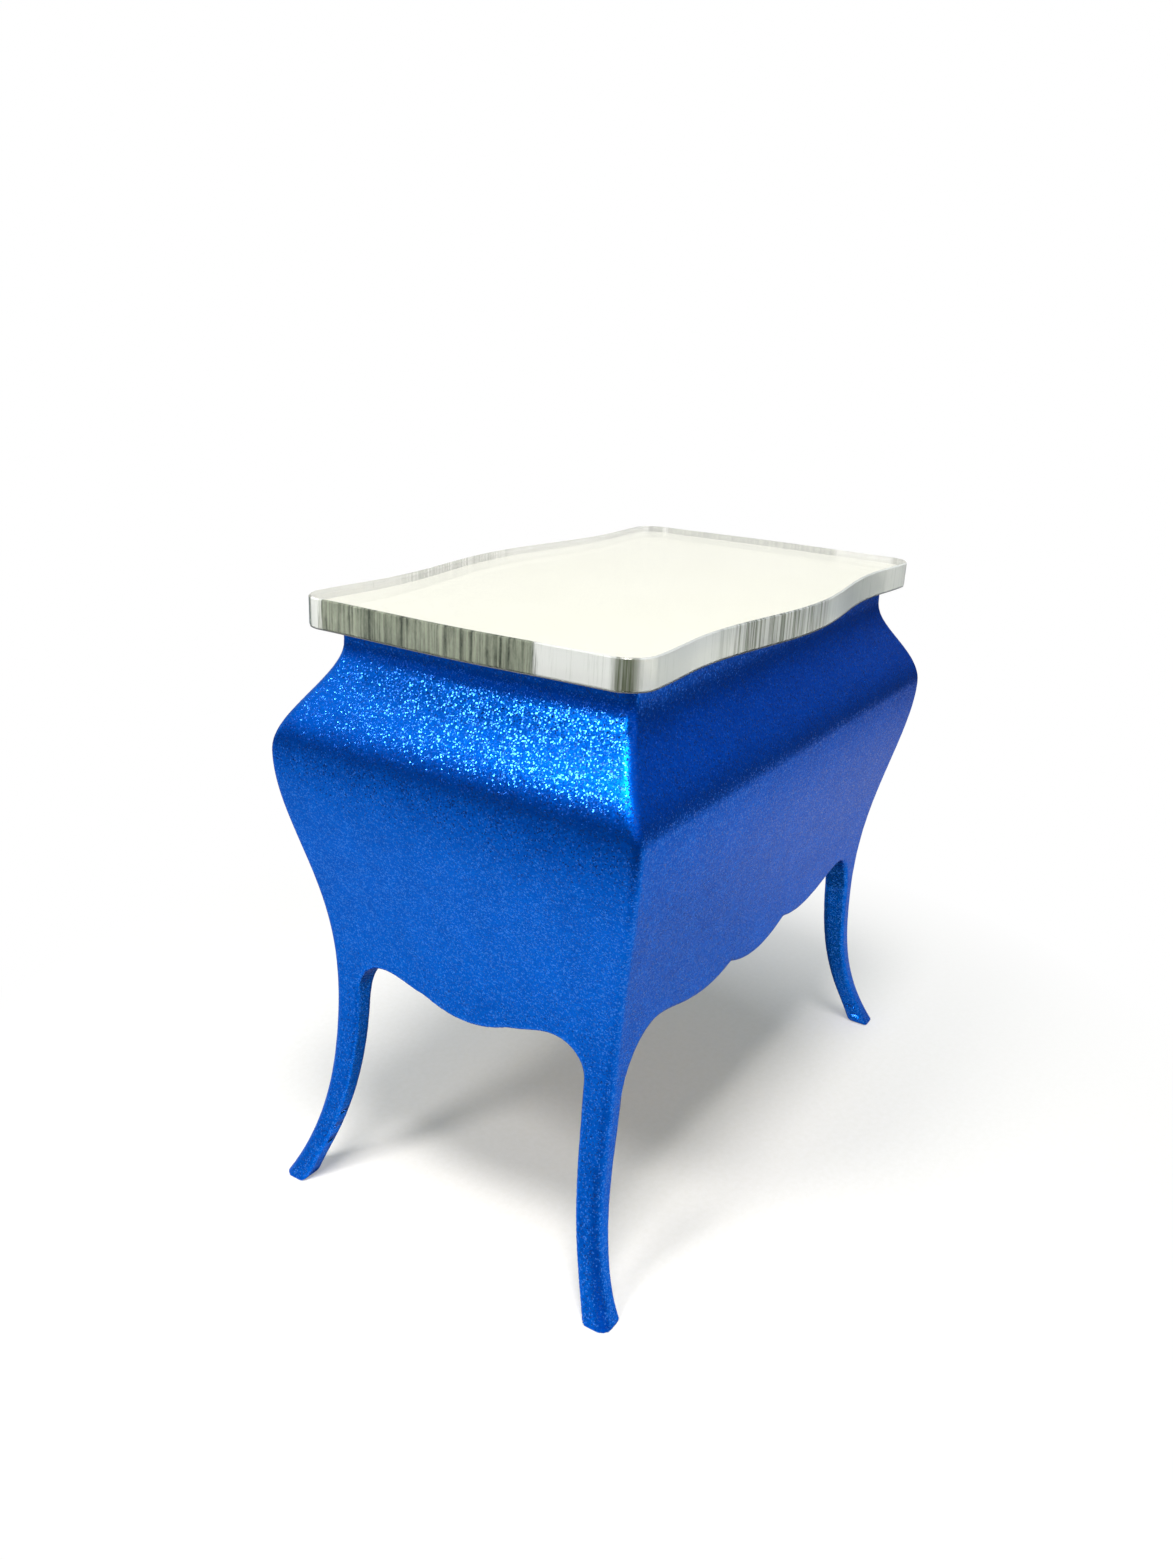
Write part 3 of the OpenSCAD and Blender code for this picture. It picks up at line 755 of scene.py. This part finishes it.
# ---------------------------------------------------------------- bare wood that the CAD already shapes
def dress_wood(node, material):
    """Gives a CAD board its wood and eases its edges. The weld joins the corners that the frame file splits."""
    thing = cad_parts[node]
    thing.data.materials.clear()
    thing.data.materials.append(material)
    weld = thing.modifiers.new("joined corners", "WELD")
    weld.merge_threshold = 0.001 * MM
    edge = thing.modifiers.new("eased edges", "BEVEL")
    edge.width = 0.12 * MM
    edge.segments = 2
    edge.limit_method = "ANGLE"


# ---------------------------------------------------------------- stage
BACKDROP = (-0.5, -0.85, 0.2)       # towards the white backdrop, behind the case in the photograph
BLUE_SHADE = (0.6, 0.8, 1.25, 1)    # tint of the dimmer room and floor in reflections


def make_floor():
    """A plain pale floor. It keeps the object's shadow near the middle and runs into plain white far out.

    Seen in a reflection it is white close by, and dimmer and bluer far out and on the photographer's side."""
    shader = Shader("pale_floor", Roughness=0.9)
    speckle = shader.noise(shader.place, 1.4 / MM, 4, 0.7)
    colour = shader.blend(shader.levels(speckle, 0.35, 0.65, 0, 1), (0.86, 0.85, 0.82, 1), (0.9, 0.89, 0.87, 1))
    shader.fill(shader.surface, {"Base Color": colour})
    from_middle = shader.add("ShaderNodeVectorMath", {0: shader.place}, operation="LENGTH").outputs["Value"]
    paths = shader.add("ShaderNodeLightPath").outputs
    seen = shader.math("MULTIPLY", paths["Is Camera Ray"], shader.levels(from_middle, 0.028, 0.085, 0.15, 1))
    bounced = shader.math("MAXIMUM", paths["Is Glossy Ray"], paths["Is Transmission Ray"])
    bounced = shader.math("MULTIPLY", bounced, shader.levels(from_middle, 0.045, 0.07, 0, 1))
    share = shader.math("ADD", seen, bounced)
    forward = shader.add("ShaderNodeVectorMath", {0: shader.place, 1: (0.87, 0.49, 0)}, operation="DOT_PRODUCT")
    towards_photographer = shader.levels(forward.outputs["Value"], 0.04, 0.12, 0, 0.85)
    far_out = shader.levels(from_middle, 0.11, 0.36, 0, 0.85)
    dimming = shader.math("MAXIMUM", towards_photographer, far_out)
    dimming = shader.math("MULTIPLY", paths["Is Glossy Ray"], dimming)
    tint = shader.blend(dimming, (1, 1, 1, 1), BLUE_SHADE)
    white = shader.add("ShaderNodeEmission", {"Color": tint, "Strength": shader.math("SUBTRACT", 1.0, dimming)})
    mixed = shader.add("ShaderNodeMixShader", {0: share, 1: shader.surface.outputs[0], 2: white.outputs[0]})
    shader.tree.links.new(mixed.outputs[0], shader.tree.nodes["Material Output"].inputs[0])
    build = bmesh.new()
    bmesh.ops.create_circle(build, cap_ends=True, segments=96, radius=3.0)
    link_object("floor", finished_mesh("floor", build, shader.material))


def make_lamp(name, direction, distance, size, power, colour):
    """A round soft lamp that looks at the middle of the case from a direction."""
    lamp = bpy.data.lights.new(name, "AREA")
    lamp.shape = "DISK"
    lamp.size = size
    lamp.energy = power
    lamp.color = colour
    thing = bpy.data.objects.new(name, lamp)
    aim = Vector((0, 0, 0.035))
    thing.location = aim + Vector(direction).normalized() * distance
    thing.rotation_euler = (thing.location - aim).to_track_quat("Z", "Y").to_euler()
    bpy.context.scene.collection.objects.link(thing)


def make_world():
    """A soft fill light that shows as plain white to the camera.

    Reflections see the white backdrop behind the case, in a room that is dimmer and bluer to the sides and overhead.
    What leaves the clear sheet sees a warm white, a little over 1 near the horizon for what the sheet takes away."""
    world = bpy.data.worlds.new("studio")
    world.use_nodes = True
    tree = world.node_tree

    def add(kind, inputs, **settings):
        node = tree.nodes.new(kind)
        for name, value in settings.items():
            setattr(node, name, value)
        for name, value in inputs.items():
            if isinstance(value, bpy.types.NodeSocket):
                tree.links.new(value, node.inputs[name])
            else:
                node.inputs[name].default_value = value
        return node

    def ranged(value, low, high, to_low, to_high):
        inputs = {"Value": value, "From Min": low, "From Max": high, "To Min": to_low, "To Max": to_high}
        return add("ShaderNodeMapRange", inputs).outputs[0]

    def background(colour, strength):
        return add("ShaderNodeBackground", {"Color": colour, "Strength": strength}).outputs[0]

    direction = tree.nodes.new("ShaderNodeTexCoord").outputs["Generated"]
    towards = add("ShaderNodeVectorMath", {0: direction, 1: BACKDROP}, operation="DOT_PRODUCT").outputs["Value"]
    height = add("ShaderNodeSeparateXYZ", {0: direction}).outputs["Z"]
    backdrop = ranged(towards, 0.2, 0.6, 0.0, 1.0)
    tint = add("ShaderNodeMix", {0: backdrop, 6: BLUE_SHADE, 7: (1.0, 1.0, 0.98, 1)}, data_type="RGBA").outputs[2]
    brightness = add("ShaderNodeMath", {0: ranged(height, -0.05, 0.4, 0.12, 0.6), 1: backdrop}, operation="MAXIMUM")
    room = background(tint, brightness.outputs[0])
    through_sheet = background((1.0, 0.995, 0.88, 1), ranged(height, 0.5, 1.0, 1.15, 0.7))

    paths = tree.nodes.new("ShaderNodeLightPath").outputs
    light = background((0.84, 1.0, 0.92, 1), 0.28)
    for seen, other in ((paths["Is Glossy Ray"], room),
                        (paths["Is Transmission Ray"], through_sheet),
                        (paths["Is Camera Ray"], background((1, 1, 1, 1), 1.0))):
        light = add("ShaderNodeMixShader", {0: seen, 1: light, 2: other}).outputs[0]
    tree.links.new(light, tree.nodes["World Output"].inputs["Surface"])
    bpy.context.scene.world = world


def make_camera():
    """The photograph's view: near the back right corner, looking down on the top."""
    place = Vector((118.2, 65.97 + CASE_Y, 89.65)) * MM
    yaw, pitch, roll = (math.radians(angle) for angle in (211.414, 19.748, 2.717))
    ahead = Vector((math.cos(pitch) * math.cos(yaw), math.cos(pitch) * math.sin(yaw), -math.sin(pitch)))
    level = ahead.cross(Vector((0, 0, 1))).normalized()
    upright = level.cross(ahead)
    right = level * math.cos(roll) + upright * math.sin(roll)
    up = upright * math.cos(roll) - level * math.sin(roll)
    data = bpy.data.cameras.new("camera")
    data.sensor_width = 36
    data.lens = 28.635
    data.clip_start = 0.005
    camera = bpy.data.objects.new("camera", data)
    turn = Matrix((right, up, -ahead)).transposed().to_4x4()
    camera.matrix_world = Matrix.Translation(place) @ turn
    bpy.context.scene.collection.objects.link(camera)
    bpy.context.scene.camera = camera


# ---------------------------------------------------------------- the whole scene
bpy.context.scene.view_settings.view_transform = "Standard"
make_camera()
make_world()
make_floor()
make_lamp("key", (0.68, -0.18, 0.69), 0.4, 0.09, 0.62, (1.0, 0.98, 0.96))
make_lamp("overhead", (0.36, 0.17, 1.0), 0.42, 0.14, 1.7, (1.0, 0.97, 0.95))

paint = blue_paint()
make_case(paint)
brass = turned_brass()
for drawer, knob in (("upper_drawer", "upper_knob"), ("lower_drawer", "lower_knob")):
    make_drawer_face(drawer, paint)
    for side in ("right", "left"):
        make_knob(f"{knob}_{side}", drawer, brass)
make_top(clear_acrylic(), laser_edge_painted_reflections(), mirror_film(), mirror_backing())

long_grain, deep_grain = bare_wood("wood_along_x", 0), bare_wood("wood_along_y", 1)
for node in ("dust_board", "bottom_board", "upper_drawer_back", "lower_drawer_back",
             "upper_drawer_bottom", "lower_drawer_bottom"):
    dress_wood(node, long_grain)
for drawer in ("upper_drawer", "lower_drawer"):
    for side in ("right", "left"):
        dress_wood(f"{drawer}_side_{side}", deep_grain)
